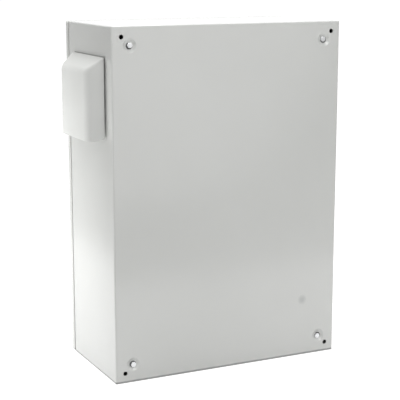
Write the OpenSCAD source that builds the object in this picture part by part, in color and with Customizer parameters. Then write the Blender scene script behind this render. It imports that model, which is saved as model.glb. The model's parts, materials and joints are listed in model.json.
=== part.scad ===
// Outdoor wall enclosure in folded and welded sheet steel, with a hinged door,
// a mounting plate and a vent hood on one side.
// Frame: +Z up, the back lies on the wall plane Y = 0, the door faces -Y,
// the vent is on the +X side. The origin is the centre of the wall holes.

/* [Enclosure] */
// Width over the side walls
box_w = 500; // [420:10:700]
// Height over the top and the bottom
box_h = 700; // [600:10:1000]
// Depth from the wall face to the front of the door
box_d = 250; // [220:5:350]
// Thickness of the body and door sheet
sheet_t = 1.5; // [1.2:0.1:2]
// Outside radius of the folds in the sheet
fold_r = 3.5; // [3:0.25:4.5]
// Radius left on the ground welds along the top and bottom edges
weld_r = 2; // [0.4:0.1:2]

/* [Front edge] */
// Depth of the folded rim of the door
door_rim = 15; // [15:0.5:20]
// Gap between the rim of the door and the body
door_gap = 2; // [2:0.25:4]
// Width of the front flange, from the outer face to the inside of the lip
flange_w = 22; // [21:0.5:24]
// Height of the sealing lip in front of the flange
lip_h = 11; // [10.5:0.25:12]
// Width of the foamed seal in the door
seal_w = 14; // [10:0.5:16]
// Corner radius of the foamed seal
seal_r = 12; // [8:0.5:16]
// Clearance between the seal and the lip of the closed door
seal_gap = 0.3; // [0.2:0.1:0.5]

/* [Back] */
// Distance of the wall holes from the edges of the back
wall_in = 20; // [18:0.5:21]
// Diameter of the wall holes
wall_hole_d = 9; // [7:0.5:11]
// Distance of the pressed seats from the edges of the back
seat_in = 37; // [36:0.5:44]
// Diameter of the pressed seats at the back face
seat_d = 29; // [28:0.5:31]
// Depth of the seats below the back face
seat_depth = 3.5; // [3.25:0.25:4]
// Slope of the seats' walls
seat_slope = 35; // [32:1:47]
// Outside radius round the rim of the seats
seat_rim_r = 2.5; // [2.1:0.1:3]
// Inside radius round the floor of the seats
seat_floor_r = 1.5; // [1:0.25:2]

/* [Mounting plate] */
// Distance of the plate's edges from the outer faces of the body
plate_in = 25; // [25:0.5:29]
// Thickness of the plate
plate_t = 2.5; // [2:0.25:4]
// Corner radius of the plate
plate_r = 8; // [3:1:12]
// Length of the spacers between the seats and the plate
spacer_len = 13; // [8:1:25]
// Width across flats of the spacers
spacer_af = 10; // [9:0.5:13]
// Thread diameter of the plate bolts
bolt_d = 6; // [5:0.5:7]
// Width across flats of the bolt heads
bolt_af = 10; // [9:0.5:12]
// Height of the bolt heads
bolt_head = 2; // [1.5:0.1:2.3]
// Radial play of the bolts in the seats
bolt_play = 1.4; // [0.5:0.1:1.8]
// Shift of the bolts in the seats towards the plate's own pattern
bolt_shift = 0.9; // [0:0.1:0.9]
// Diameter of the sealing washers
washer_d = 14.5; // [13:0.5:15]
// Thickness of the sealing washers
washer_t = 1; // [0.7:0.1:1.1]
// Height of the plate nuts
nut_h = 5; // [4:0.5:7]
// Diameter of the flanges of the plate nuts
nut_flange_d = 14; // [13:0.5:16]
// Clearance of a stud or screw in its hole
screw_fit = 0.15; // [0.05:0.05:0.4]

/* [Cable entry] */
// Width of the cable entry in the bottom
entry_w = 320; // [200:10:330]
// Depth of the cable entry in the bottom
entry_d = 110; // [80:5:115]
// Corner radius of the cable entry
entry_r = 6; // [3:1:12]
// Width of the gasket round the cable entry
entry_border = 13; // [12:0.5:16]
// Thickness of the gasket under the gland plate
entry_seal_t = 2; // [1.5:0.25:4]
// Thickness of the gland plate
gland_t = 2; // [1.5:0.25:3]
// Diameter of the gland plate studs
gland_stud_d = 5; // [4:0.5:6]
// Height of the gland plate studs above their nuts
gland_stud_end = 2; // [1:0.5:6]
// Width across flats of the gland plate nuts
gland_nut_af = 8; // [7.5:0.5:10]
// Height of the gland plate nuts
gland_nut_h = 4; // [3:0.5:6]

/* [Earth studs] */
// Diameter of the earth studs
earth_d = 8; // [5:0.5:8]
// Length of the earth studs
earth_len = 24; // [22:1:30]
// Width across flats of the earth nuts
earth_af = 13; // [12:0.5:15]
// Height of the earth nuts
earth_nut_h = 6.5; // [4:0.5:7]
// Distance of the earth studs from the hinge side
earth_in = 62; // [50:2:80]
// Distance of the body's earth stud behind the front of the body
earth_back = 30; // [25:1:35]
// Distance of the door's earth stud from the bottom
earth_up = 60; // [50:2:100]

/* [Hinges] */
// Distance of the hinge axis from the outer side face
hinge_in = 7; // [6.5:0.25:7.5]
// Distance of the hinge axis in front of the rear edge of the door rim
hinge_fwd = 8; // [7.5:0.25:8.5]
// Cut-back of the door rim on the hinge side, which swings past the body
rim_relief = 2; // [2:0.25:3]
// Distance of the hinges from the top and the bottom
hinge_end = 120; // [90:5:180]
// Overall length of a hinge
hinge_len = 80; // [64:2:110]
// Length of each knuckle on the body
knuckle_len = 20; // [14:1:24]
// Outside diameter of the knuckles
knuckle_d = 9; // [8.5:0.25:9.5]
// Diameter of the hinge pins
pin_d = 5; // [4:0.25:6]
// Radial running clearance on the hinge pins
pin_fit = 0.05; // [0.02:0.01:0.1]
// Diameter of the heads of the hinge pins
pin_head_d = 8; // [6.5:0.25:9]
// Height of the heads of the hinge pins
pin_head_h = 2; // [1:0.25:4]
// Gap between neighbouring knuckles
knuckle_gap = 0.3; // [0.2:0.1:0.6]
// Thickness of the hinge brackets and leaves
bracket_t = 2; // [1.5:0.1:2.2]
// Diameter of the hinge bracket screws
hinge_screw_d = 4; // [3:0.25:4.5]
// Diameter of the heads of the hinge bracket screws
hinge_screw_head_d = 7; // [6:0.25:7.5]
// Height of the heads of the hinge bracket screws
hinge_screw_head_h = 2.2; // [1:0.2:3]

/* [Door rails] */
// Distance of the perforated rails from the sides of the door
rail_in = 95; // [85:1:130]
// Distance of the rails from the top and the bottom of the door
rail_end = 80; // [60:5:120]
// Width of the channel of a rail
rail_w = 25; // [20:1:30]
// Height of a rail above the door sheet
rail_h = 12; // [8:0.5:15]
// Width of the welded feet of a rail
rail_foot = 9; // [6:0.5:12]
// Thickness of the rail sheet
rail_t = 1.5; // [1:0.1:2]
// Pitch of the slots in the rails
rail_pitch = 25; // [20:1:40]
// Length of the slots in the rails
rail_slot = 14; // [8:0.5:16]
// Width of the slots in the rails
rail_slot_w = 6.5; // [4:0.5:8]

/* [Locks] */
// Distance of the lock axes from the free side of the door
lock_in = 48; // [46:0.5:58]
// Distance of the locks from the top and the bottom
lock_end = 150; // [130:5:220]
// Diameter of the lock barrels
barrel_d = 22; // [20:0.5:23]
// Radial clearance of the barrels in the door
barrel_gap = 0.25; // [0.1:0.05:0.5]
// Diameter of the lock flanges on the door front
lock_flange_d = 29; // [27:0.5:33]
// Height of the lock flanges on the door front
lock_flange_h = 3.5; // [2:0.25:5]
// Width across flats of the lock nuts
lock_nut_af = 27; // [26:0.5:30]
// Height of the lock nuts
lock_nut_h = 5; // [3:0.5:7]
// Diameter of the head of the turning core
core_head_d = 16; // [14.5:0.25:17]
// Depth of the head of the turning core
core_head_h = 7; // [5:0.5:9]
// Diameter of the shaft of the turning core
core_d = 12; // [11.5:0.25:13]
// Radial running clearance of the core in the barrel
core_fit = 0.05; // [0.02:0.01:0.1]
// Distance from the end of the barrel to the cam
core_end = 1.5; // [0.5:0.25:3]
// Diameter of the key recess
key_d = 12; // [10:0.5:12.5]
// Depth of the key recess
key_depth = 6; // [3:0.5:6.5]
// Diameter of the key post
key_post_d = 5; // [4:0.25:6]
// Width over the two bits of the key post
key_bit = 9.4; // [7:0.2:9.6]
// Thickness of the bits of the key post
key_bit_t = 3; // [2:0.25:4]
// Side of the square end of the core that drives the cam
cam_square = 8; // [7:0.25:8]
// Clearance of the cam on the square
cam_fit = 0.05; // [0.02:0.01:0.1]
// Thickness of the cams
cam_t = 3; // [2.5:0.25:4]
// Width of the cams
cam_w = 16; // [14:0.5:20]
// Reach of the cams from the lock axis to their tip
cam_reach = 38; // [34:0.5:42]
// Clearance between a turned cam and the front flange
cam_gap = 1.5; // [0.5:0.1:2.5]
// Diameter of the cam screws
cam_screw_d = 5; // [4:0.25:5]
// Width across flats of the heads of the cam screws
cam_screw_af = 8; // [7:0.5:10]
// Height of the heads of the cam screws
cam_screw_head = 3.5; // [2:0.25:5]
// Diameter of the washers under the cam screws
cam_washer_d = 13; // [12:0.5:15]
// Thickness of the washers under the cam screws
cam_washer_t = 1.2; // [0.8:0.1:2]

/* [Vent] */
// Distance of the vent's centre below the top
vent_down = 140; // [115:5:220]
// Side of the square cut-out in the side wall
cutout = 125; // [105:1:128]
// Clearance of the collar in the cut-out
collar_gap = 0.75; // [0.3:0.05:1.5]
// Wall thickness of the moulded vent pieces
vent_wall = 2.5; // [2:0.1:3]
// Width of the base flange beyond the cut-out
base_border = 13.5; // [13:0.25:16]
// Corner radius of the base flange
base_r = 8; // [3:0.5:12]
// Thickness of the base flange
base_t = 2.5; // [2:0.1:4]
// Thickness of the gasket under the base
vent_seal_t = 1.5; // [1.2:0.1:3]
// Overhang of the base flange over its gasket
vent_seal_in = 3; // [2:0.25:4]
// Depth of the collar behind the outer wall face
collar_len = 22; // [21:0.5:30]
// Thickness of the filter mat
filter_t = 10; // [6:0.5:11]
// Clearance of the filter and its frame in the collar
filter_gap = 0.25; // [0.1:0.05:0.6]
// Thickness of the plate of the filter frame
frame_t = 2.5; // [1.5:0.25:4]
// Overlap of the filter frame beyond the collar
frame_over = 2; // [0.5:0.25:4]
// Width of the border of the filter frame
frame_border = 5; // [4:0.5:10]
// Width of the bars of the filter frame
bar_w = 2.2; // [1.5:0.1:4]
// Pitch of the bars of the filter frame
bar_pitch = 18; // [12:1:30]
// Pitch of the louvre blades
blade_pitch = 14; // [11:0.5:20]
// Thickness of the louvre blades
blade_t = 1.8; // [1.2:0.1:3]
// Tilt of the louvre blades
blade_tilt = 40; // [25:1:55]
// Distance of the vent screws from the edges of the base flange
vent_screw_in = 7; // [5.5:0.25:7.5]
// Diameter of the vent screws
vent_screw_d = 4; // [3:0.25:4.5]
// Diameter of the heads of the vent screws
vent_screw_head_d = 8; // [6:0.25:8.5]
// Height of the heads of the vent screws
vent_screw_head_h = 2.4; // [1:0.2:4]
// Length of the vent screws below their heads
vent_screw_len = 13; // [10:0.5:18]
// Width across flats of the vent nuts
vent_nut_af = 7; // [6:0.25:8]
// Height of the vent nuts
vent_nut_h = 3.2; // [2:0.2:4]

/* [Vent hood] */
// Reach of the hood beyond the base flange at the two sides
hood_side = 7.5; // [6.5:0.5:19]
// Reach of the hood beyond the base flange at the top and the bottom
hood_end = 4; // [3:0.5:20]
// Distance of the hood's face from the wall
hood_out = 36; // [30:1:60]
// Lean of the two sides between the wall and the face
hood_lean = 13; // [6:0.5:16]
// Drop of the sloping top between the wall and the face
hood_drop = 24; // [12:1:40]
// Radius of the ridges round the face
hood_ridge_r = 12; // [4:0.5:13]
// Radius of the lower corners
hood_corner_r = 11; // [6:0.5:20]
// Diameter of the four posts inside the hood
post_d = 7; // [4:0.25:8]
// Height of the posts from the vent's centre
post_up = 44; // [40:0.5:48]
// Length of the clips that hook under the base flange
clip_len = 14; // [8:0.5:18]
// Thickness of the clips
clip_t = 2.2; // [1.6:0.1:2.4]
// Height of the clips from the vent's centre
clip_up = 26; // [20:0.5:28]
// Clearance round the clips
clip_gap = 0.25; // [0.1:0.05:0.35]
// Overlap of the clips under the base flange
clip_hook = 1.8; // [0.8:0.1:1.8]

/* [Hidden] */
$fn = 64;
over = 1;

// Front planes of the body, measured from the back face
body_d = box_d - door_rim - door_gap;
lip_d = body_d + lip_h;
rim_d = box_d - door_rim;
door_in_d = box_d - sheet_t;
mitre = flange_w + 10;
fold_in = fold_r - sheet_t;

// Pressed seats and plate bolts
seat_bends = seat_rim_r + seat_floor_r;
seat_floor_flat = seat_d/2 - seat_bends*sin(seat_slope)
  - (seat_depth - seat_bends*(1 - cos(seat_slope)))/tan(seat_slope);
seat_turn = [for (k = [0:6]) seat_slope*k/6];
bolt_hole_d = bolt_d + 2*bolt_play;
seat_x = box_w/2 - seat_in;
seat_z = box_h/2 - seat_in;
bolt_x = seat_x - bolt_shift;
bolt_z = seat_z + bolt_shift;
head_d = seat_depth - washer_t;
spacer_d = seat_depth + sheet_t;
plate_d = spacer_d + spacer_len;
bolt_end = plate_d + plate_t + nut_h + 2;

// Cable entry in the bottom
entry_y = -body_d/2;
bottom_z = -box_h/2 + sheet_t;
gland_z = bottom_z + entry_seal_t;
gland_nut_z = gland_z + gland_t;
gland_stud_len = entry_seal_t + gland_t + gland_nut_h + gland_stud_end;

// Hinges, seen from the hinge axis
axis_x = -box_w/2 + hinge_in;
axis_y = -(rim_d + hinge_fwd);
hinge_z = box_h/2 - hinge_end;
lip_x = flange_w - sheet_t - hinge_in;
arm_y = -lip_d - axis_y;
leg_y = -body_d - fold_in - 0.2 - axis_y;
leaf_len = hinge_len - 2*knuckle_len - 2*knuckle_gap;
hinge_screw_y = (arm_y + bracket_t + leg_y)/2;
hinge_screw_z = hinge_len/2 - knuckle_len/2;

// Locks
lock_x = box_w/2 - lock_in;
lock_z = box_h/2 - lock_end;
cam_d = body_d - sheet_t - cam_gap;
barrel_end_d = cam_d + core_end;
core_front_d = box_d + lock_flange_h - 0.4;
core_step_d = core_front_d - core_head_h;

// Vent, in a local frame: X to the back, Y up, Z out of the side wall
vent_y = -body_d/2;
vent_z = box_h/2 - vent_down;
base_half = cutout/2 + base_border;
hood_base = vent_seal_t + base_t;
hood_w = 2*(base_half + hood_side);
hood_h = 2*(base_half + hood_end);
collar_out = cutout/2 - collar_gap;
collar_in = collar_out - vent_wall;
screw_at = base_half - vent_screw_in;
filter_back = -(collar_len - 4);
filter_front = filter_back + filter_t;
hood_rise = hood_out - hood_base;
side_angle = atan2(hood_rise, hood_lean);
top_angle = atan2(hood_rise, hood_drop);
post_at = (collar_out + base_half)/2;

// Colours
paint = [0.78, 0.79, 0.78];
plastic = [0.79, 0.80, 0.79];
nylon = [0.74, 0.75, 0.74];
zinc = [0.72, 0.73, 0.74];
steel = [0.60, 0.61, 0.62];
rubber = [0.10, 0.10, 0.10];
foam = [0.22, 0.22, 0.23];
fibre = [0.92, 0.92, 0.90];

// Flat outlines

// Rectangle with four rounded corners
module rounded_rect(w, h, r) {
  square([w, h - 2*r], center = true);
  square([w - 2*r, h], center = true);
  for (x = [-1, 1], y = [-1, 1])
    translate([x*(w/2 - r), y*(h/2 - r)]) circle(r);
}

// Quarter of a bent sheet about the centre c, in the quadrant q
module quarter_bend(c, r, t, q) {
  translate(c) intersection() {
    difference() {
      circle(r);
      circle(r - t);
    }
    translate([q[0] < 0 ? -r : 0, q[1] < 0 ? -r : 0]) square(r);
  }
}

// Section of one wall with its folded front edge: X runs in from the outer face, Y to the front
module edge_section(start) {
  translate([0, start]) square([sheet_t, body_d - fold_r - start]);
  quarter_bend([fold_r, body_d - fold_r], fold_r, sheet_t, [-1, 1]);
  translate([fold_r, body_d - sheet_t]) square([flange_w - 2*fold_r, sheet_t]);
  quarter_bend([flange_w - fold_r, body_d - sheet_t + fold_r], fold_r, sheet_t, [1, -1]);
  translate([flange_w - sheet_t, body_d - sheet_t + fold_r]) square([sheet_t, lip_h + sheet_t - fold_r]);
}

// Section of the sheet folded round both sides and the back
module wrap_section() {
  for (s = [-1, 1]) mirror([s < 0 ? 1 : 0, 0]) {
    translate([box_w/2, 0]) rotate(180) edge_section(fold_r);
    quarter_bend([box_w/2 - fold_r, -fold_r], fold_r, sheet_t, [1, 1]);
  }
  translate([-(box_w/2 - fold_r), -sheet_t]) square([box_w - 2*fold_r, sheet_t]);
}

// Half section of a pressed seat: X is the radius, Y the depth below the back face
module seat_section() {
  floor_c = [seat_floor_flat, seat_depth - seat_floor_r];
  rim_c = [seat_d/2, seat_rim_r];
  polygon(concat(
    [[bolt_hole_d/2, seat_depth]],
    [for (a = seat_turn) floor_c + seat_floor_r*[sin(a), cos(a)]],
    [for (a = seat_turn) rim_c - seat_rim_r*[sin(seat_slope - a), cos(seat_slope - a)]],
    [[seat_d/2 + 2*over, 0], [seat_d/2 + 2*over, sheet_t]],
    [for (a = seat_turn) rim_c - (seat_rim_r - sheet_t)*[sin(a), cos(a)]],
    [for (a = seat_turn) floor_c + (seat_floor_r + sheet_t)*[sin(seat_slope - a), cos(seat_slope - a)]],
    [[bolt_hole_d/2, seat_depth + sheet_t]]
  ));
}

// Section of a moulded cover: half width b at height z0, sides at angle a, face at height z1
module cover_section(b, z0, z1, a, r) {
  lean = (z1 - z0)/tan(a);
  cut = r*tan(a/2);
  side = [b - lean + cut*cos(a), z1 - cut*sin(a)];
  face = [b - lean - cut, z1];
  polygon([[b, z0], side, face, [-face[0], z1], [-side[0], side[1]], [-b, z0]]);
  for (s = [-1, 1]) translate([s*face[0], z1 - r]) circle(r);
}

// Upright section of the hood: sloping top, flat face, open end at y0
module hood_section(top, z0, z1, a, r, y0) {
  lean = (z1 - z0)/tan(a);
  cut = r*tan(a/2);
  side = [top - lean + cut*cos(a), z1 - cut*sin(a)];
  face = [top - lean - cut, z1];
  polygon([[top, z0], side, face, [y0, z1], [y0, z0]]);
  translate([face[0], z1 - r]) circle(r);
}

// Placing

// Puts a solid drawn with Z along its own axis on the back, pointing into the box from depth d
module from_back(x, z, d) {
  translate([x, -d, z]) rotate([90, 0, 0]) children();
}

// Puts the vent's local frame on the side wall
module on_vent() {
  translate([box_w/2, vent_y, vent_z]) rotate([90, 0, 90]) children();
}

// Repeats at the four corners of a rectangle of half sides x and z
module four(x, z) {
  for (i = [-1, 1], j = [-1, 1]) translate([i*x, 0, j*z]) children();
}

module hinge_place(up) {
  translate([axis_x, axis_y, up*hinge_z]) children();
}

module lock_place(up) {
  translate([lock_x, 0, up*lock_z]) rotate([90, 0, 0]) children();
}

function gland_points() = [
  for (i = [-1, 0, 1], j = [-1, 1])
    [i*(entry_w/2 - 20), entry_y + j*(entry_d + entry_border)/2]
];

// Body

// Prism over the front view that rounds the ground corners
module front_prism() {
  translate([0, over, 0]) rotate([90, 0, 0])
    linear_extrude(box_d + 2*over) rounded_rect(box_w, box_h, weld_r);
}

// Wedge of the front fold that belongs to the cap, from the top corner inwards
module cap_wedge() {
  translate([0, -(body_d - fold_r), 0]) rotate([90, 0, 0]) linear_extrude(box_d)
    polygon([
      [-box_w/2 - over, box_h/2 + over], [box_w/2 + over, box_h/2 + over],
      [box_w/2 - mitre, box_h/2 - mitre], [-box_w/2 + mitre, box_h/2 - mitre]
    ]);
}

// Wedge of the front fold that belongs to the side, at the right end of the top
module side_wedge() {
  translate([0, -(body_d - fold_r), 0]) rotate([90, 0, 0]) linear_extrude(box_d)
    polygon([
      [box_w/2 + over, box_h/2 + over], [box_w/2 + over, box_h/2 - mitre],
      [box_w/2 - mitre, box_h/2 - mitre]
    ]);
}

module body_wrap() {
  color(paint) {
    difference() {
      intersection() {
        linear_extrude(box_h, center = true) wrap_section();
        front_prism();
      }
      // room for the caps and their mitred front folds
      for (s = [0, 1]) mirror([0, 0, s]) {
        translate([-box_w/2 - over, -(body_d - fold_r), box_h/2 - sheet_t])
          cube([box_w + 2*over, body_d, sheet_t + over]);
        cap_wedge();
      }
      four(box_w/2 - wall_in, box_h/2 - wall_in)
        rotate([90, 0, 0]) cylinder(d = wall_hole_d, h = 4*sheet_t, center = true);
      four(seat_x, seat_z)
        rotate([90, 0, 0]) cylinder(d = seat_d + over, h = 4*sheet_t, center = true);
      on_vent() {
        cube([cutout, cutout, 4*sheet_t], center = true);
        for (i = [-1, 1], j = [-1, 1]) translate([i*screw_at, j*screw_at, 0])
          cylinder(d = vent_screw_d + 2*screw_fit, h = 4*sheet_t, center = true);
      }
      for (up = [-1, 1], j = [-1, 1]) hinge_place(up)
        translate([lip_x + sheet_t/2, hinge_screw_y, j*hinge_screw_z]) rotate([0, 90, 0])
          cylinder(d = hinge_screw_d + 2*screw_fit, h = 2*sheet_t, center = true);
    }
    four(seat_x, seat_z) rotate([90, 0, 0]) rotate_extrude() seat_section();
  }
}

// Top sheet with its front fold, mitred into the sides
module cap_sheet() {
  difference() {
    intersection() {
      translate([box_w/2, 0, box_h/2]) rotate([0, 90, 180])
        linear_extrude(box_w) edge_section(0);
      front_prism();
      // back corners follow the folds of the wrap
      linear_extrude(box_h + 2*over, center = true)
        translate([0, -box_d]) rounded_rect(box_w, 2*box_d, fold_r);
      // ground weld along the back edge
      rotate([90, 0, 90]) linear_extrude(box_w + 2*over, center = true)
        translate([-box_d, 0]) rounded_rect(2*box_d, box_h, weld_r);
    }
    for (s = [0, 1]) mirror([s, 0, 0]) side_wedge();
  }
}

module top_cap() {
  color(paint) cap_sheet();
}

module bottom_cap() {
  color(paint) difference() {
    mirror([0, 0, 1]) cap_sheet();
    translate([0, entry_y, -box_h/2]) linear_extrude(4*sheet_t, center = true)
      rounded_rect(entry_w, entry_d, entry_r);
  }
}

// Mounting plate and its fixings

module bolt_seals() {
  color(nylon) four(seat_x, seat_z) from_back(0, 0, head_d) difference() {
    cylinder(d = washer_d, h = washer_t);
    translate([0, 0, -over]) cylinder(d = bolt_hole_d, h = washer_t + 2*over);
  }
}

module plate_bolts() {
  color(zinc) four(bolt_x, bolt_z) {
    from_back(0, 0, head_d - bolt_head)
      cylinder(d = bolt_af/cos(30), h = bolt_head, $fn = 6);
    from_back(0, 0, head_d - over) cylinder(d = bolt_d, h = bolt_end - head_d + over);
  }
}

module plate_spacers() {
  color(zinc) four(bolt_x, bolt_z) from_back(0, 0, spacer_d) difference() {
    cylinder(d = spacer_af/cos(30), h = spacer_len, $fn = 6);
    translate([0, 0, -over]) cylinder(d = bolt_d + 2*screw_fit, h = spacer_len + 2*over);
  }
}

module mounting_plate() {
  color(zinc) difference() {
    from_back(0, 0, plate_d) linear_extrude(plate_t)
      rounded_rect(box_w - 2*plate_in, box_h - 2*plate_in, plate_r);
    four(bolt_x, bolt_z) from_back(0, 0, plate_d - over)
      cylinder(d = bolt_d + 2*screw_fit, h = plate_t + 2*over);
  }
}

module plate_nuts() {
  color(zinc) four(bolt_x, bolt_z) from_back(0, 0, plate_d + plate_t) difference() {
    union() {
      cylinder(d = nut_flange_d, h = nut_h/4);
      cylinder(d = bolt_af/cos(30), h = nut_h, $fn = 6);
    }
    translate([0, 0, -over]) cylinder(d = bolt_d + 2*screw_fit, h = nut_h + 2*over);
  }
}

// Cable entry

module gland_outline(border) {
  rounded_rect(entry_w + 2*border, entry_d + 2*border, entry_r);
}

module gland_holes(h) {
  for (p = gland_points()) translate([p[0], p[1] - entry_y, -over])
    cylinder(d = gland_stud_d + 2*screw_fit, h = h + 2*over);
}

module gland_gasket() {
  color(rubber) translate([0, entry_y, bottom_z]) difference() {
    linear_extrude(entry_seal_t) difference() {
      gland_outline(entry_border);
      gland_outline(0);
    }
    gland_holes(entry_seal_t);
  }
}

module gland_plate() {
  color(paint) translate([0, entry_y, gland_z]) difference() {
    linear_extrude(gland_t) gland_outline(entry_border);
    gland_holes(gland_t);
  }
}

module gland_studs() {
  color(zinc) for (p = gland_points()) translate([p[0], p[1], bottom_z])
    cylinder(d = gland_stud_d, h = gland_stud_len);
}

module gland_nuts() {
  color(zinc) for (p = gland_points()) translate([p[0], p[1], gland_nut_z]) difference() {
    cylinder(d = gland_nut_af/cos(30), h = gland_nut_h, $fn = 6);
    translate([0, 0, -over])
      cylinder(d = gland_stud_d + 2*screw_fit, h = gland_nut_h + 2*over);
  }
}

// Earth studs

module earth_bolt() {
  cylinder(d = earth_d, h = earth_len);
}

// Two nuts, one against the sheet and one that clamps the lead
module earth_nut_pair() {
  for (z = [0, earth_nut_h + 2]) translate([0, 0, z]) difference() {
    cylinder(d = earth_af/cos(30), h = earth_nut_h, $fn = 6);
    translate([0, 0, -over]) cylinder(d = earth_d + 2*screw_fit, h = earth_nut_h + 2*over);
  }
}

module earth_place() {
  translate([-box_w/2 + earth_in, -(body_d - earth_back), bottom_z]) children();
}

module door_earth_place() {
  translate([-box_w/2 + earth_in, -door_in_d, -box_h/2 + earth_up]) rotate([-90, 0, 0]) children();
}

module earth_stud() {
  color(zinc) earth_place() earth_bolt();
}

module earth_nuts() {
  color(zinc) earth_place() earth_nut_pair();
}

module door_earth_stud() {
  color(zinc) door_earth_place() earth_bolt();
}

module door_earth_nuts() {
  color(zinc) door_earth_place() earth_nut_pair();
}

// Hinges

// Angle bracket on the sealing lip, with two knuckles
module hinge_bracket(up) {
  hinge_place(up) difference() {
    union() {
      for (j = [-1, 1]) translate([0, 0, j*(hinge_len - knuckle_len)/2]) {
        cylinder(d = knuckle_d, h = knuckle_len, center = true);
        translate([0, arm_y, -knuckle_len/2]) cube([lip_x, bracket_t, knuckle_len]);
      }
      translate([lip_x - bracket_t, arm_y, -hinge_len/2])
        cube([bracket_t, leg_y - arm_y, hinge_len]);
    }
    cylinder(d = pin_d + 2*pin_fit, h = hinge_len + 2*over, center = true);
    for (j = [-1, 1]) translate([lip_x, hinge_screw_y, j*hinge_screw_z]) rotate([0, 90, 0])
      cylinder(d = hinge_screw_d + 2*screw_fit, h = 4*bracket_t, center = true);
  }
}

// Leaf welded inside the door rim, with the middle knuckle
module hinge_leaf(up) {
  rim_x = -(hinge_in - sheet_t);
  leaf_front = -door_in_d + fold_in - axis_y;
  leaf_back = hinge_fwd - rim_relief - 1;
  hinge_place(up) difference() {
    union() {
      cylinder(d = knuckle_d, h = leaf_len, center = true);
      translate([rim_x, leaf_front, -leaf_len/2])
        cube([bracket_t, leaf_back - leaf_front, leaf_len]);
    }
    cylinder(d = pin_d + 2*pin_fit, h = leaf_len + 2*over, center = true);
  }
}

module hinge_pin(up) {
  hinge_place(up) {
    translate([0, 0, -hinge_len/2 - over]) cylinder(d = pin_d, h = hinge_len + over + pin_head_h/2);
    translate([0, 0, hinge_len/2]) cylinder(d = pin_head_d, h = pin_head_h);
  }
}

module hinge_bracket_upper() {
  color(zinc) hinge_bracket(1);
}

module hinge_bracket_lower() {
  color(zinc) hinge_bracket(-1);
}

module hinge_leaf_upper() {
  color(paint) hinge_leaf(1);
}

module hinge_leaf_lower() {
  color(paint) hinge_leaf(-1);
}

module hinge_pin_upper() {
  color(steel) hinge_pin(1);
}

module hinge_pin_lower() {
  color(steel) hinge_pin(-1);
}

module hinge_screws() {
  color(zinc) for (up = [-1, 1], j = [-1, 1]) hinge_place(up)
    translate([lip_x + sheet_t, hinge_screw_y, j*hinge_screw_z]) rotate([0, 90, 0]) {
      translate([0, 0, -(sheet_t + bracket_t + 0.8)])
        cylinder(d = hinge_screw_d, h = sheet_t + bracket_t + over);
      cylinder(d = hinge_screw_head_d, h = hinge_screw_head_h);
    }
}

// Door

// Block of the door grown in by i, with its front folds rounded by r
module door_block(i, r, depth) {
  w = box_w - 2*i;
  h = box_h - 2*i;
  front = box_d - i;
  long = 2*box_d;
  intersection() {
    translate([0, -front + depth, 0]) rotate([90, 0, 0]) linear_extrude(depth) rounded_rect(w, h, r);
    linear_extrude(h, center = true) translate([0, long/2 - front]) rounded_rect(w, long, r);
    rotate([90, 0, 90]) linear_extrude(w, center = true)
      translate([long/2 - front, 0]) rounded_rect(long, h, r);
  }
}

module door_panel() {
  color(paint) difference() {
    door_block(0, fold_r, door_rim);
    door_block(sheet_t, fold_in, door_rim);
    // cut-back behind the hinge axis
    translate([-box_w/2 - over, -rim_d - rim_relief, -box_h/2 - over])
      cube([hinge_in + over, rim_relief + over, box_h + 2*over]);
    for (up = [-1, 1]) lock_place(up)
      translate([0, 0, door_in_d - over])
        cylinder(d = barrel_d + 2*barrel_gap, h = sheet_t + 2*over);
  }
}

// Foamed seal on the inside of the door, facing the lip
module door_seal() {
  mid = flange_w - sheet_t/2;
  out_in = mid - seal_w/2;
  in_in = mid + seal_w/2;
  color(foam) from_back(0, 0, lip_d + seal_gap) linear_extrude(door_in_d - lip_d - seal_gap)
    difference() {
      rounded_rect(box_w - 2*out_in, box_h - 2*out_in, seal_r);
      rounded_rect(box_w - 2*in_in, box_h - 2*in_in, seal_r/3);
    }
}

// Perforated stiffening rail, a hat section welded to the door by its feet
module door_rail(side) {
  len = box_h - 2*rail_end;
  count = floor((len - rail_slot)/2/rail_pitch);
  translate([side*(box_w/2 - rail_in), -door_in_d, 0]) difference() {
    linear_extrude(len, center = true) {
      translate([-rail_w/2, rail_h - rail_t]) square([rail_w, rail_t]);
      for (s = [-1, 1]) mirror([s < 0 ? 1 : 0, 0]) {
        translate([rail_w/2 - rail_t, 0]) square([rail_t, rail_h]);
        translate([rail_w/2 - rail_t, 0]) square([rail_foot + rail_t, rail_t]);
      }
    }
    for (k = [-count:count]) translate([0, rail_h, k*rail_pitch])
      cube([rail_slot_w, 4*rail_t, rail_slot], center = true);
  }
}

module door_rail_left() {
  color(paint) door_rail(-1);
}

module door_rail_right() {
  color(paint) door_rail(1);
}

// Locks, drawn with Z to the front from the back face

module lock_housing(up) {
  lock_place(up) difference() {
    union() {
      translate([0, 0, barrel_end_d]) cylinder(d = barrel_d, h = box_d - barrel_end_d + over);
      translate([0, 0, box_d]) cylinder(d = lock_flange_d, h = lock_flange_h);
    }
    translate([0, 0, barrel_end_d - over])
      cylinder(d = core_d + 2*core_fit, h = core_step_d - barrel_end_d + 2*over);
    translate([0, 0, core_step_d]) cylinder(d = core_head_d + 2*core_fit, h = core_head_h + over);
  }
}

module lock_nut(up) {
  lock_place(up) translate([0, 0, door_in_d - lock_nut_h]) difference() {
    rotate(30) cylinder(d = lock_nut_af/cos(30), h = lock_nut_h, $fn = 6);
    translate([0, 0, -over]) cylinder(d = barrel_d + 2*screw_fit, h = lock_nut_h + 2*over);
  }
}

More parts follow.
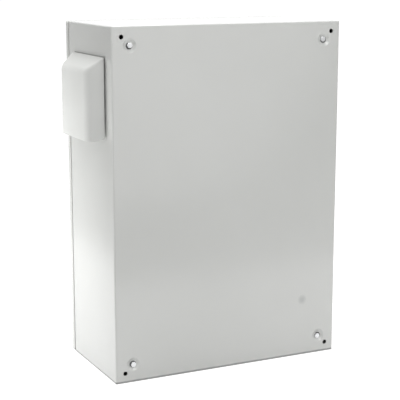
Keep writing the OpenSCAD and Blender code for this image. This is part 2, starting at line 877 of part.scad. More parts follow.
// Turning core with a two-bit key post in front and a square end for the cam
module lock_core(up) {
  key_floor = core_front_d - key_depth;
  lock_place(up) difference() {
    union() {
      translate([0, 0, core_step_d + 0.2]) cylinder(d = core_head_d, h = core_head_h - 0.2);
      translate([0, 0, cam_d]) cylinder(d = core_d, h = core_step_d - cam_d + over);
      translate([-cam_square/2, -cam_square/2, cam_d - cam_t + 0.2])
        cube([cam_square, cam_square, cam_t + over]);
    }
    difference() {
      translate([0, 0, key_floor]) cylinder(d = key_d, h = key_depth + over);
      translate([0, 0, key_floor - over]) cylinder(d = key_post_d, h = key_depth);
      translate([-key_bit/2, -key_bit_t/2, key_floor - over]) cube([key_bit, key_bit_t, key_depth]);
    }
    translate([0, 0, cam_d - cam_t - over])
      cylinder(d = cam_screw_d + 2*screw_fit, h = cam_t + 9 + over);
  }
}

// Cam, pointing down with the lock open
module lock_cam(up) {
  lock_place(up) translate([0, 0, cam_d - cam_t]) difference() {
    linear_extrude(cam_t) {
      circle(d = cam_w + 2);
      translate([-cam_w/2, -(cam_reach - cam_w/2)]) square([cam_w, cam_reach - cam_w/2]);
      translate([0, -(cam_reach - cam_w/2)]) circle(d = cam_w);
    }
    cube([cam_square + 2*cam_fit, cam_square + 2*cam_fit, 4*cam_t], center = true);
  }
}

module cam_screw(up) {
  lock_place(up) translate([0, 0, cam_d - cam_t]) {
    translate([0, 0, -cam_washer_t]) cylinder(d = cam_washer_d, h = cam_washer_t);
    translate([0, 0, -cam_washer_t - cam_screw_head])
      cylinder(d = cam_screw_af/cos(30), h = cam_screw_head + cam_washer_t/2, $fn = 6);
    translate([0, 0, -cam_washer_t/2]) cylinder(d = cam_screw_d, h = cam_washer_t/2 + cam_t + 8);
  }
}

module lock_housing_upper() {
  color(steel) lock_housing(1);
}

module lock_housing_lower() {
  color(steel) lock_housing(-1);
}

module lock_nut_upper() {
  color(zinc) lock_nut(1);
}

module lock_nut_lower() {
  color(zinc) lock_nut(-1);
}

module lock_core_upper() {
  color(steel) lock_core(1);
}

module lock_core_lower() {
  color(steel) lock_core(-1);
}

module lock_cam_upper() {
  color(zinc) lock_cam(1);
}

module lock_cam_lower() {
  color(zinc) lock_cam(-1);
}

module cam_screw_upper() {
  color(zinc) cam_screw(1);
}

module cam_screw_lower() {
  color(zinc) cam_screw(-1);
}

// Vent

module vent_holes(d, z, h) {
  for (i = [-1, 1], j = [-1, 1]) translate([i*screw_at, j*screw_at, z]) cylinder(d = d, h = h);
}

module vent_gasket() {
  half = base_half - vent_seal_in;
  color(rubber) on_vent() difference() {
    linear_extrude(vent_seal_t) difference() {
      rounded_rect(2*half, 2*half, base_r - vent_seal_in/2);
      square(cutout, center = true);
    }
    vent_holes(vent_screw_d + 2*screw_fit, -over, vent_seal_t + 2*over);
  }
}

// Moulded base: flange on the wall, collar through it and louvre blades across
module vent_base() {
  top = hood_base;
  blade_w = (top - 0.5 - filter_front - 0.3 - blade_t*cos(blade_tilt))/sin(blade_tilt);
  count = floor(2*collar_in/blade_pitch);
  color(plastic) on_vent() difference() {
    union() {
      difference() {
        union() {
          translate([0, 0, vent_seal_t]) linear_extrude(base_t)
            rounded_rect(2*base_half, 2*base_half, base_r);
          translate([0, 0, -collar_len]) linear_extrude(collar_len + vent_seal_t + over)
            square(2*collar_out, center = true);
        }
        cube([2*collar_in, 2*collar_in, 4*collar_len], center = true);
      }
      intersection() {
        for (k = [0:count - 1])
          translate([0, (k - (count - 1)/2)*blade_pitch, (top - 0.5 + filter_front + 0.3)/2])
            rotate([-blade_tilt, 0, 0])
              cube([2*collar_out, blade_t, blade_w + 2*blade_t], center = true);
        translate([-collar_out, -collar_in - over/2, filter_front + 0.3])
          cube([2*collar_out, 2*collar_in + over, top - 0.5 - filter_front - 0.3]);
      }
    }
    vent_holes(vent_screw_d + 2*screw_fit, 0, hood_base + over);
  }
}

module vent_screws() {
  color(zinc) on_vent() {
    vent_holes(vent_screw_d, hood_base - vent_screw_len, vent_screw_len + over);
    vent_holes(vent_screw_head_d, hood_base, vent_screw_head_h);
  }
}

module vent_nuts() {
  color(zinc) on_vent() difference() {
    for (i = [-1, 1], j = [-1, 1]) translate([i*screw_at, j*screw_at, -sheet_t - vent_nut_h])
      cylinder(d = vent_nut_af/cos(30), h = vent_nut_h, $fn = 6);
    vent_holes(vent_screw_d + 2*screw_fit, -sheet_t - vent_nut_h - over, vent_nut_h + 2*over);
  }
}

module vent_filter() {
  side = 2*(collar_in - filter_gap);
  color(fibre) on_vent() translate([0, 0, filter_back])
    linear_extrude(filter_t) square(side, center = true);
}

// Frame with a grid of bars that holds the filter in the collar from inside
module vent_filter_frame() {
  half = collar_out + frame_over;
  hole = collar_in - filter_gap - frame_border;
  count = floor(hole/bar_pitch);
  color(plastic) on_vent() {
    translate([0, 0, -collar_len - frame_t]) linear_extrude(frame_t) {
      difference() {
        square(2*half, center = true);
        square(2*hole, center = true);
      }
      for (k = [-count:count]) {
        translate([k*bar_pitch, 0]) square([bar_w, 2*hole + over], center = true);
        translate([0, k*bar_pitch]) square([2*hole + over, bar_w], center = true);
      }
    }
    translate([0, 0, -collar_len - frame_t/2])
      linear_extrude(filter_back + collar_len + frame_t/2) difference() {
        square(2*(collar_in - filter_gap), center = true);
        square(2*hole, center = true);
      }
  }
}

// Outer form of the hood, or its hollow when grown in by a wall
module hood_form(i, low) {
  b = hood_w/2 - i/sin(side_angle);
  t = hood_h/2 - i/sin(top_angle);
  intersection() {
    rotate([90, 0, 0]) linear_extrude(4*hood_h, center = true)
      cover_section(b + low/tan(side_angle), hood_base - low, hood_out - i, side_angle, hood_ridge_r - i);
    rotate([90, 0, 90]) linear_extrude(2*hood_w, center = true)
      hood_section(t + low/tan(top_angle), hood_base - low, hood_out - i, top_angle,
        hood_ridge_r - i, -hood_h/2 - low);
  }
}

module hood_outline() {
  linear_extrude(hood_out + over) translate([0, hood_h/2])
    rounded_rect(hood_w, 2*hood_h, hood_corner_r);
}

// Moulded rain hood, open at the bottom, clipped over the base
module vent_hood() {
  hook_x = base_half - clip_hook;
  arm_x = base_half + clip_gap;
  color(plastic) on_vent() {
    difference() {
      intersection() {
        hood_form(0, 0);
        hood_outline();
      }
      hood_form(vent_wall, over);
    }
    // posts that stand on the base flange
    intersection() {
      hood_form(0, 0);
      for (i = [-1, 1], j = [-1, 1]) translate([i*post_at, j*post_up, hood_base])
        cylinder(d = post_d, h = hood_out);
    }
    // clips under the edge of the base flange
    for (i = [0, 1], j = [-1, 1]) mirror([i, 0, 0]) {
      translate([arm_x, j*clip_up - clip_len/2, clip_gap])
        cube([clip_t, clip_len, hood_base + over]);
      translate([hook_x, j*clip_up - clip_len/2, clip_gap])
        cube([arm_x + clip_t - hook_x, clip_len, vent_seal_t - 2*clip_gap]);
      intersection() {
        hood_form(0, 0);
        translate([arm_x, j*clip_up - clip_len/2, hood_base])
          cube([clip_t, clip_len, hood_rise*0.6]);
      }
    }
  }
}

body_wrap();
top_cap();
bottom_cap();
bolt_seals();
plate_bolts();
plate_spacers();
mounting_plate();
plate_nuts();
gland_gasket();
gland_plate();
gland_studs();
gland_nuts();
earth_stud();
earth_nuts();
hinge_bracket_upper();
hinge_bracket_lower();
hinge_screws();
hinge_pin_upper();
hinge_pin_lower();
vent_gasket();
vent_base();
vent_screws();
vent_nuts();
vent_filter();
vent_filter_frame();
vent_hood();
door_panel();
door_seal();
door_rail_left();
door_rail_right();
hinge_leaf_upper();
hinge_leaf_lower();
door_earth_stud();
door_earth_nuts();
lock_housing_upper();
lock_housing_lower();
lock_nut_upper();
lock_nut_lower();
lock_core_upper();
lock_cam_upper();
cam_screw_upper();
lock_core_lower();
lock_cam_lower();
cam_screw_lower();
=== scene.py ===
import json
import math
import bpy
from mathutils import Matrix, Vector


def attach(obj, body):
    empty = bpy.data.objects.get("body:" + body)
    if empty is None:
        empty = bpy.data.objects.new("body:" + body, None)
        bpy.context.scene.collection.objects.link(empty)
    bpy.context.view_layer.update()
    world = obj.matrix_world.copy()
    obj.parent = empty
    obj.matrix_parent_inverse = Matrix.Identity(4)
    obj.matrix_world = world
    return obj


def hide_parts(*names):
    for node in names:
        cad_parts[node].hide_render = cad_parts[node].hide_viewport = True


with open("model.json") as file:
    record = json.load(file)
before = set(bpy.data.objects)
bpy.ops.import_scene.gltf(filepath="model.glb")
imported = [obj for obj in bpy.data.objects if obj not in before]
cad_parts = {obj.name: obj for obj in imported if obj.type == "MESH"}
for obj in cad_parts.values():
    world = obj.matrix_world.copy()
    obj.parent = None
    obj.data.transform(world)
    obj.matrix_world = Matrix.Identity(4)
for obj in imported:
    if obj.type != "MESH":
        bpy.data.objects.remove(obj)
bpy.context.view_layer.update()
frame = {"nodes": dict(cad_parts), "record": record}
nodes = frame["nodes"]
bpy.ops.object.select_all(action="DESELECT")
print("frame loaded:", len(nodes), "nodes")

# camera at the height and angle of the photograph
view = {
    "eye": (1.0732, 2.0661, 0.4674),
    "look": (-0.4295, -0.8813, -0.1970),
    "lens": 106.65,
    "sensor": 36.0,
    "farthest": 100,
}


def facing(direction):
    return Vector(direction).to_track_quat("-Z", "Y").to_euler()


def setCamera():
    bpy.ops.object.camera_add(location=view["eye"])
    camera = bpy.context.active_object
    camera.name = "photoCamera"
    camera.rotation_euler = facing(view["look"])
    camera.data.lens = view["lens"]
    camera.data.sensor_width = view["sensor"]
    camera.data.clip_end = view["farthest"]
    bpy.context.scene.camera = camera


setCamera()
print("camera set")


# node helpers: each adds a node to a tree and gives back what comes out of it
def addNoise(tree, where, scale, detail=2.0, roughness=0.5):
    noise = tree.nodes.new("ShaderNodeTexNoise")
    noise.inputs["Scale"].default_value = scale
    noise.inputs["Detail"].default_value = detail
    noise.inputs["Roughness"].default_value = roughness
    tree.links.new(where, noise.inputs["Vector"])
    return noise.outputs["Fac"]


# a look's tone, from dark to pale between its two stops
def addTone(tree, value, look):
    ramp = tree.nodes.new("ShaderNodeValToRGB")
    colours = (look["dark"], look["pale"])
    for element, place, colour in zip(ramp.color_ramp.elements, look["stops"], colours):
        element.position = place
        element.color = (*colour, 1)
    tree.links.new(value, ramp.inputs["Fac"])
    return ramp.outputs["Color"]


def addRange(tree, value, low, high, toLow, toHigh):
    span = tree.nodes.new("ShaderNodeMapRange")
    sockets = ("From Min", "From Max", "To Min", "To Max")
    for socket, number in zip(sockets, (low, high, toLow, toHigh)):
        span.inputs[socket].default_value = number
    tree.links.new(value, span.inputs["Value"])
    return span.outputs["Result"]


def addMix(tree, factor, under, colour):
    mix = tree.nodes.new("ShaderNodeMix")
    mix.data_type = "RGBA"
    tree.links.new(factor, mix.inputs["Factor"])
    tree.links.new(under, mix.inputs[6])  # sockets 6 and 7 take the two colours
    mix.inputs[7].default_value = (*colour, 1)
    return mix.outputs[2]


# takes sockets and plain numbers alike
def addMath(tree, kind, *values):
    sums = tree.nodes.new("ShaderNodeMath")
    sums.operation = kind
    for socket, value in zip(sums.inputs, values):
        if hasattr(value, "is_linked"):
            tree.links.new(value, socket)
        else:
            socket.default_value = value
    return sums.outputs[0]


def addVector(tree, kind, first, second=None):
    node = tree.nodes.new("ShaderNodeVectorMath")
    node.operation = kind
    tree.links.new(first, node.inputs[0])
    if second:
        node.inputs[1].default_value = second
    return node.outputs["Value" if kind == "DISTANCE" else "Vector"]


def addParts(tree, where):
    parts = tree.nodes.new("ShaderNodeSeparateXYZ")
    tree.links.new(where, parts.inputs[0])
    return parts.outputs


def addBump(tree, shader, height, strength, distance, under=None):
    bump = tree.nodes.new("ShaderNodeBump")
    bump.inputs["Strength"].default_value = strength
    bump.inputs["Distance"].default_value = distance
    tree.links.new(height, bump.inputs["Height"])
    if under:
        tree.links.new(under, bump.inputs["Normal"])
    tree.links.new(bump.outputs["Normal"], shader.inputs["Normal"])
    return bump.outputs["Normal"]


def addSwap(tree, factor, first, second):
    swap = tree.nodes.new("ShaderNodeMixShader")
    for socket, source in zip(swap.inputs, (factor, first, second)):
        tree.links.new(source, socket)
    return swap.outputs[0]


# finishes, all on Object coordinates in metres
noiseSpan = (0.3, 0.7)  # most values of a noise lie between these


def startFinish(name):
    finish = bpy.data.materials.new(name)
    finish.use_nodes = True
    tree = finish.node_tree
    shader = tree.nodes["Principled BSDF"]
    where = tree.nodes.new("ShaderNodeTexCoord").outputs["Object"]
    return finish, tree, shader, where


def setColour(tree, shader, colour):
    tree.links.new(colour, shader.inputs["Base Color"])


def setRoughness(tree, shader, value, span, rough):
    tree.links.new(addRange(tree, value, *span, *rough), shader.inputs["Roughness"])


# each noise below is a scale, a detail and at times a roughness, each bump a strength and a depth
powder = {
    "pale": (0.615, 0.622, 0.604), "dark": (0.578, 0.586, 0.568), "stops": (0.35, 0.65),
    "cloud": (2.6, 3.0), "cloudShare": 0.7, "patches": (14, 3.0), "rough": (0.36, 0.44),
    "peel": (420, 1.5), "peelBump": (0.16, 0.00025),
    "grain": (1900, 2.0), "grainBump": (0.10, 0.00008),
    "coat": 1.0, "coatRough": 0.16, "coatIor": 1.65,
}
darkSpot = {
    "at": (-0.1725, 0.0, -0.2290), "reach": 0.0145, "core": 0.45,
    "edge": (260, 3.0), "ragged": 0.006, "weight": 0.66, "colour": (0.40, 0.41, 0.405),
}
# painted contact shadow along the lower edge of the body
edgeShadow = {
    "upTo": -0.3448, "fade": 0.0016, "edge": (45, 3.0), "uneven": 0.0016,
    "behindDoor": (-0.240, -0.235), "weight": 0.72, "colour": (0.13, 0.135, 0.13),
}


# small soft darker spot on the back
def addDarkSpot(tree, where, under):
    ragged = addMath(tree, "MULTIPLY", addNoise(tree, where, *darkSpot["edge"]), darkSpot["ragged"])
    away = addMath(tree, "ADD", addVector(tree, "DISTANCE", where, darkSpot["at"]), ragged)
    core = darkSpot["reach"] * darkSpot["core"]
    mark = addRange(tree, away, darkSpot["reach"], core, 0.0, darkSpot["weight"])
    return addMix(tree, mark, under, darkSpot["colour"])


# painted contact shadow: a thin dark line along the lower edge of the body, where it meets the floor
def addEdgeShadow(tree, where, under):
    x, y, z = addParts(tree, where)
    edge = addNoise(tree, where, *edgeShadow["edge"])
    uneven = addMath(tree, "MULTIPLY_ADD", edge, edgeShadow["uneven"], -edgeShadow["uneven"] / 2)
    level = addMath(tree, "ADD", z, uneven)
    low = addRange(tree, level, edgeShadow["upTo"], edgeShadow["upTo"] - edgeShadow["fade"], 0.0, edgeShadow["weight"])
    onBody = addRange(tree, y, *edgeShadow["behindDoor"], 0.0, 1.0)
    return addMix(tree, addMath(tree, "MULTIPLY", low, onBody), under, edgeShadow["colour"])


def makePowderCoat():
    finish, tree, shader, where = startFinish("powderCoat")
    cloud = addNoise(tree, where, *powder["cloud"])
    grain = addNoise(tree, where, *powder["grain"])
    share = powder["cloudShare"]
    both = addMath(tree, "MULTIPLY_ADD", cloud, share, addMath(tree, "MULTIPLY", grain, 1 - share))
    tone = addTone(tree, both, powder)
    # the tone takes a soft darker spot and the painted contact shadow along the lower edge
    setColour(tree, shader, addEdgeShadow(tree, where, addDarkSpot(tree, where, tone)))
    setRoughness(tree, shader, addNoise(tree, where, *powder["patches"]), noiseSpan, powder["rough"])
    shader.inputs["Coat Weight"].default_value = powder["coat"]
    shader.inputs["Coat Roughness"].default_value = powder["coatRough"]
    shader.inputs["Coat IOR"].default_value = powder["coatIor"]
    peel = addBump(tree, shader, addNoise(tree, where, *powder["peel"]), *powder["peelBump"])
    addBump(tree, shader, grain, *powder["grainBump"], peel)
    return finish


nylon = {
    "pale": (0.50, 0.51, 0.50), "dark": (0.43, 0.44, 0.43), "stops": (0.35, 0.65),
    "cloud": (320, 3.0), "rough": (0.48, 0.6), "grain": (2400, 2.0), "bump": (0.1, 0.00005),
    # painted shadow ring round each bolt head: its colour, centre, radius and soft edge
    "lip": (0.012, 0.012, 0.013), "lipAt": (0.213, 0.0, 0.313),
    "lipReach": 0.0066, "lipSoft": 0.0003,
}


def makeNylon():
    finish, tree, shader, where = startFinish("greyNylon")
    cloud = addNoise(tree, where, *nylon["cloud"])
    # painted shadow: a black ring round the middle of each of the four washers, standing in for the
    # shaded gap round each bolt head
    oneCorner = addVector(tree, "ABSOLUTE", where)
    onBack = addVector(tree, "MULTIPLY", oneCorner, (1, 0, 1))
    away = addVector(tree, "DISTANCE", onBack, nylon["lipAt"])
    lip = addRange(tree, away, nylon["lipReach"], nylon["lipReach"] - nylon["lipSoft"], 0.0, 1.0)
    setColour(tree, shader, addMix(tree, lip, addTone(tree, cloud, nylon), nylon["lip"]))
    setRoughness(tree, shader, cloud, noiseSpan, nylon["rough"])
    addBump(tree, shader, addNoise(tree, where, *nylon["grain"]), *nylon["bump"])
    return finish


galvanised = {
    "pale": (0.72, 0.74, 0.75), "dark": (0.55, 0.57, 0.58), "stops": (0.2, 0.8), "rough": (0.34, 0.46),
    "spangle": 85, "wobble": 60, "bend": 0.012, "grain": (700, 2.0), "bump": (0.08, 0.0001),
}


def makeGalvanised():
    finish, tree, shader, where = startFinish("galvanisedSheet")
    wobble = addNoise(tree, where, galvanised["wobble"]).node.outputs["Color"]
    bent = tree.nodes.new("ShaderNodeMix")
    bent.data_type = "VECTOR"
    bent.inputs["Factor"].default_value = galvanised["bend"]
    tree.links.new(where, bent.inputs[4])  # sockets 4 and 5 take the two vectors
    tree.links.new(wobble, bent.inputs[5])
    spangle = tree.nodes.new("ShaderNodeTexVoronoi")
    spangle.inputs["Scale"].default_value = galvanised["spangle"]
    tree.links.new(bent.outputs[1], spangle.inputs["Vector"])
    grey = tree.nodes.new("ShaderNodeRGBToBW")
    tree.links.new(spangle.outputs["Color"], grey.inputs[0])
    setColour(tree, shader, addTone(tree, grey.outputs[0], galvanised))
    setRoughness(tree, shader, grey.outputs[0], galvanised["stops"], galvanised["rough"])
    shader.inputs["Metallic"].default_value = 1.0
    addBump(tree, shader, addNoise(tree, where, *galvanised["grain"]), *galvanised["bump"])
    return finish


moulded = {
    "pale": (0.628, 0.635, 0.618), "dark": (0.600, 0.607, 0.590), "stops": (0.35, 0.65),
    "cloud": (9, 2.0), "grain": (2600, 2.0), "bump": (0.12, 0.00006), "grainRough": (0.42, 0.52),
}
zinc = {
    "pale": (0.92, 0.925, 0.935), "dark": (0.78, 0.79, 0.80), "stops": (0.3, 0.62), "metal": 1.0,
    "cloud": (240, 3.0), "rough": (0.44, 0.32), "grain": (1500, 2.0), "bump": (0.1, 0.00005),
}
castMetal = {
    "pale": (0.62, 0.62, 0.63), "dark": (0.50, 0.50, 0.51), "stops": (0.3, 0.7), "metal": 1.0,
    "cloud": (900, 3.0), "rough": (0.30, 0.42), "grain": (900, 3.0), "bump": (0.15, 0.00006),
}
blackRubber = {
    "pale": (0.026, 0.026, 0.027), "dark": (0.012, 0.012, 0.012), "stops": (0.35, 0.7),
    "cloud": (180, 4.0), "rough": (0.62, 0.78), "grain": (1800, 2.0), "bump": (0.2, 0.00008),
}
foam = {
    "pale": (0.055, 0.056, 0.058), "dark": (0.030, 0.031, 0.032), "stops": (0.35, 0.68),
    "cloud": (320, 4.0), "rough": (0.78, 0.9), "grain": (900, 4.0), "bump": (0.35, 0.0002),
}
fibre = {
    "pale": (0.86, 0.86, 0.84), "dark": (0.62, 0.62, 0.60), "stops": (0.32, 0.62),
    "cloud": (700, 6.0, 0.65), "evenRough": 0.95, "grain": (700, 6.0, 0.65), "bump": (0.7, 0.0008),
}


# finish with one noise for its tone and one for its grain
def makeFinish(name, look):
    finish, tree, shader, where = startFinish(name)
    cloud = addNoise(tree, where, *look["cloud"])
    grain = addNoise(tree, where, *look["grain"])
    setColour(tree, shader, addTone(tree, cloud, look))
    if "rough" in look:
        setRoughness(tree, shader, cloud, noiseSpan, look["rough"])
    elif "grainRough" in look:
        setRoughness(tree, shader, grain, noiseSpan, look["grainRough"])
    else:
        shader.inputs["Roughness"].default_value = look["evenRough"]
    shader.inputs["Metallic"].default_value = look.get("metal", 0.0)
    addBump(tree, shader, grain, *look["bump"])
    return finish


finishes = {
    "paint": makePowderCoat(),
    "moulded_plastic": makeFinish("mouldedPlastic", moulded),
    "grey_nylon": makeNylon(),
    "zinc_fittings": makeFinish("zincPlating", zinc),
    "galvanised_sheet": makeGalvanised(),
    "lock_metal": makeFinish("lockMetal", castMetal),
    "rubber": makeFinish("blackRubber", blackRubber),
    "foam_seal": makeFinish("foamSeal", foam),
    "filter_fibre": makeFinish("filterFibre", fibre),
}
print("finishes made:", len(finishes))

# every frame node takes the finish of its slot
slotOf = {part["node"]: part["material_slot"] for part in frame["record"]["subparts"]}
bodies = frame["record"]["behaviour"]["bodies"]
bodyOf = {node: body for body, members in bodies.items() for node in members}

for node, item in nodes.items():
    item.data.materials.clear()
    item.data.materials.append(finishes[slotOf[node]])

# shaping helpers: points, edges and faces are chosen by place or normal
editModes = {"points": "VERT", "edges": "EDGE", "faces": "FACE"}
touch = 1e-5  # points closer than this count as one place
hair = 1e-7  # reach of a cut, and of a merge that only closes it


def only(piece):
    bpy.ops.object.select_all(action="DESELECT")
    piece.select_set(True)
    bpy.context.view_layer.objects.active = piece


def enterEdit(kind, action="SELECT"):
    bpy.ops.object.mode_set(mode="EDIT")
    bpy.ops.mesh.select_mode(type=editModes[kind])
    bpy.ops.mesh.select_all(action=action)


def leaveEdit():
    bpy.ops.object.mode_set(mode="OBJECT")


def pick(piece, kind, test):
    enterEdit(kind, "DESELECT")
    leaveEdit()
    mesh = piece.data
    if kind == "points":
        for point in mesh.vertices:
            point.select = test(point.co)
    elif kind == "edges":
        for edge in mesh.edges:
            start, end = (mesh.vertices[i].co for i in edge.vertices)
            edge.select = test(start, end)
    else:
        for face in mesh.polygons:
            face.select = test(face.center, face.normal)
    bpy.ops.object.mode_set(mode="EDIT")


def facesUp(centre, normal):
    return normal.z > 0.9


def facesDown(centre, normal):
    return normal.z < -0.9


def extrude(*step):
    bpy.ops.mesh.extrude_region_move(TRANSFORM_OT_translate={"value": step})


def shrink(share, around):
    bpy.ops.transform.resize(value=(share, share, 1), center_override=around)


# line drawn point by point from a merged plane, left in edit mode
def drawLine(start, steps):
    bpy.ops.mesh.primitive_plane_add(size=0.01)
    line = bpy.context.active_object
    enterEdit("points")
    bpy.ops.mesh.merge(type="CENTER")
    bpy.ops.transform.translate(value=start)
    for step in steps:
        extrude(*step)
    return line


def cutAcross(at, normal, **side):
    bpy.ops.mesh.select_all(action="SELECT")
    bpy.ops.mesh.bisect(plane_co=at, plane_no=normal, use_fill=True, threshold=hair, **side)


def applyModifier(piece, kind, **settings):
    only(piece)
    modifier = piece.modifiers.new("shape", kind)
    for key, value in settings.items():
        setattr(modifier, key, value)
    bpy.ops.object.modifier_apply(modifier=modifier.name)


def cutWith(piece, tool, operation):
    applyModifier(piece, "BOOLEAN", operation=operation, object=tool, solver="EXACT")
    bpy.data.objects.remove(tool)


# bevels the edges that turn by more than an angle in degrees
def bevelSharp(piece, width, angle):
    applyModifier(piece, "BEVEL", width=width, segments=2,
                  limit_method="ANGLE", angle_limit=math.radians(angle))


def mergeDoubles(piece, reach=1e-6):
    only(piece)
    enterEdit("points")
    bpy.ops.mesh.remove_doubles(threshold=reach)
    bpy.ops.mesh.normals_make_consistent(inside=False)
    leaveEdit()


# merges and triangulates a mesh after cuts, without slivers
def cleanMesh(piece, reach=3e-6):
    only(piece)
    enterEdit("points")
    bpy.ops.mesh.remove_doubles(threshold=reach)
    bpy.ops.mesh.dissolve_degenerate(threshold=reach)
    enterEdit("faces", "DESELECT")
    bpy.ops.mesh.select_interior_faces()
    bpy.ops.mesh.delete(type="FACE")
    bpy.ops.mesh.select_all(action="SELECT")
    bpy.ops.mesh.quads_convert_to_tris(quad_method="BEAUTY", ngon_method="BEAUTY")
    bpy.ops.mesh.dissolve_degenerate(threshold=reach)
    leaveEdit()


def placePiece(piece, at, turn):
    only(piece)
    piece.location = at
    piece.rotation_euler = turn
    bpy.ops.object.transform_apply(location=True, rotation=True, scale=True)


def copyTo(piece, at, turn):
    only(piece)
    bpy.ops.object.duplicate(linked=False)
    twin = bpy.context.active_object
    placePiece(twin, at, turn)
    return twin


def joinPieces(name, parts):
    bpy.ops.object.select_all(action="DESELECT")
    for part in parts:
        part.select_set(True)
    bpy.context.view_layer.objects.active = parts[0]
    if len(parts) > 1:
        bpy.ops.object.join()
    piece = bpy.context.active_object
    piece.name = piece.data.name = name
    return piece


# gives a piece its shading, finish and body, in place of a frame node
def dress(piece, node, smooth=32, flatFaces=True):
    only(piece)
    bpy.ops.object.shade_smooth_by_angle(angle=math.radians(smooth))
    if flatFaces:
        applyModifier(piece, "WEIGHTED_NORMAL", mode="FACE_AREA", weight=100, keep_sharp=True)
    slot = slotOf[node]
    piece.data.materials.clear()
    piece.data.materials.append(finishes[slot])
    for face in piece.data.polygons:
        face.material_index = 0
    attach(piece, bodyOf[node])
    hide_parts(node)


# plate_bolts becomes plateBolts
def pieceName(node):
    first, *rest = node.split("_")
    return first + "".join(word.capitalize() for word in rest)


# copies of a model, joined into the piece that stands for a node
def dressCopies(node, model, places, turn):
    cleanMesh(model)
    twins = [copyTo(model, at, turn) for at in places]
    bpy.data.objects.remove(model)
    dress(joinPieces(pieceName(node), twins), node)


# rain hood of the vent, modelled about the vent's centre with Z out of the side wall
ventPlace = {"at": (0.250, -0.1165, 0.210), "turn": (math.pi / 2, 0, math.pi / 2)}
hood = {
    "halfWidth": 0.0835, "top": 0.080, "bottom": -0.080, "base": 0.0027, "face": 0.036,
    "lean": 0.013, "drop": 0.024, "ridge": 0.018, "corner": 0.011, "wall": 0.0025,
    "arcSteps": 10, "cornerSteps": 6, "slopeRows": (0.35, 0.7, 1.0),
    "sideLeft": 0.0004, "edge": 0.0004, "edgeAngle": 55, "smooth": 40,
}
hoodPost = {
    "at": (0.068875, 0.044), "radius": 0.0035, "sides": 24, "long": 0.0292, "middle": 0.0186,
    "rim": 0.0011, "bore": 0.008,
}
hoodClip = {
    "at": (0.07625, 0.026), "thick": 0.0022, "wide": 0.014, "foot": 0.001, "footAt": 0.00075,
    "rise": 0.0112, "hook": 0.00205, "hookTaper": 0.92, "edge": 0.0002, "edgeAngle": 50,
}


# arc of a rounded ridge between a leaning side and the face, from the side to the face
def ridgeArc(edge, rise, lean, radius, high):
    angle = math.atan2(rise, lean)
    middle = edge - lean - radius * math.tan(angle / 2)
    steps = hood["arcSteps"]
    turns = [angle * (1 - i / steps) for i in range(steps + 1)]
    return [(middle + radius * math.sin(a), high - radius + radius * math.cos(a)) for a in turns]


# one skin of the hood: a profile pulled up in rows, which shrink along the sloping top
def hoodSkin(name, inset):
    base, low, corner = hood["base"], hood["bottom"], hood["corner"]
    rise = hood["face"] - base
    half = hood["halfWidth"] - inset * math.hypot(rise, hood["lean"]) / rise
    top = hood["top"] - inset * math.hypot(rise, hood["drop"]) / rise
    high = hood["face"] - inset
    radius = hood["ridge"] - inset
    lean = hood["lean"] * (high - base) / rise
    drop = hood["drop"] * (high - base) / rise
    right = [(half, base)] + ridgeArc(half, high - base, lean, radius, high)
    profile = right + [(-x, z) for x, z in reversed(right)]
    slope = ridgeArc(top, high - base, drop, radius, high)[::-1]
    cuts = hood["cornerSteps"]
    rows = [low + corner * (1 - math.cos(math.pi / 2 * i / cuts)) for i in range(cuts + 1)]
    rows += [low / 2, 0.0, top / 3]
    heights = [high] * len(rows) + [z for y, z in slope]
    rows += [y for y, z in slope]
    lastRow, lastHeight = slope[-1]
    for part in hood["slopeRows"]:
        rows.append(lastRow + (top - lastRow) * part)
        heights.append(lastHeight + (base - lastHeight) * part)

    steps = [(x1 - x0, 0, z1 - z0) for (x0, z0), (x1, z1) in zip(profile, profile[1:])]
    skin = drawLine((half, low, base), steps)
    skin.name = name
    bpy.ops.mesh.select_all(action="SELECT")
    for y0, y1 in zip(rows, rows[1:]):
        extrude(0, y1 - y0, 0)
    leaveEdit()
    # rounded lower corners: the ends of the low rows move up the leaning sides
    most = (right[1][1] - base - hood["sideLeft"]) * lean / (high - base)
    for y in rows[:cuts]:
        dip = y - (low + corner)
        reach = hood["halfWidth"] - corner + math.sqrt(max(0, corner ** 2 - dip ** 2))
        lift = min(max(0, half - reach), most)
        for side in (1, -1):
            pick(skin, "points", lambda p: abs(p.y - y) < touch and abs(p.x - side * half) < touch)
            bpy.ops.transform.translate(value=(-side * lift, 0, lift * (high - base) / lean))
            leaveEdit()
    # sloping top: each row shrinks towards its two foot points
    for y, z in zip(rows, heights):
        share = (z - base) / (high - base)
        if z < high - touch:
            for side in (1, -1):
                pick(skin, "points", lambda p: abs(p.y - y) < touch and p.x * side > 0)
                foot = (side * half, y, base)
                bpy.ops.transform.resize(value=(share, 1, share), center_override=foot)
                leaveEdit()
    mergeDoubles(skin, touch)
    return skin


def makeHoodShell():
    skins = [hoodSkin("outerSkin", 0.0), hoodSkin("innerSkin", hood["wall"])]
    shell = joinPieces("ventHood", skins)
    enterEdit("edges", "DESELECT")
    bpy.ops.mesh.select_non_manifold(extend=False)
    bpy.ops.mesh.bridge_edge_loops()
    leaveEdit()
    mergeDoubles(shell, hair)
    bevelSharp(shell, hood["edge"], hood["edgeAngle"])
    return shell


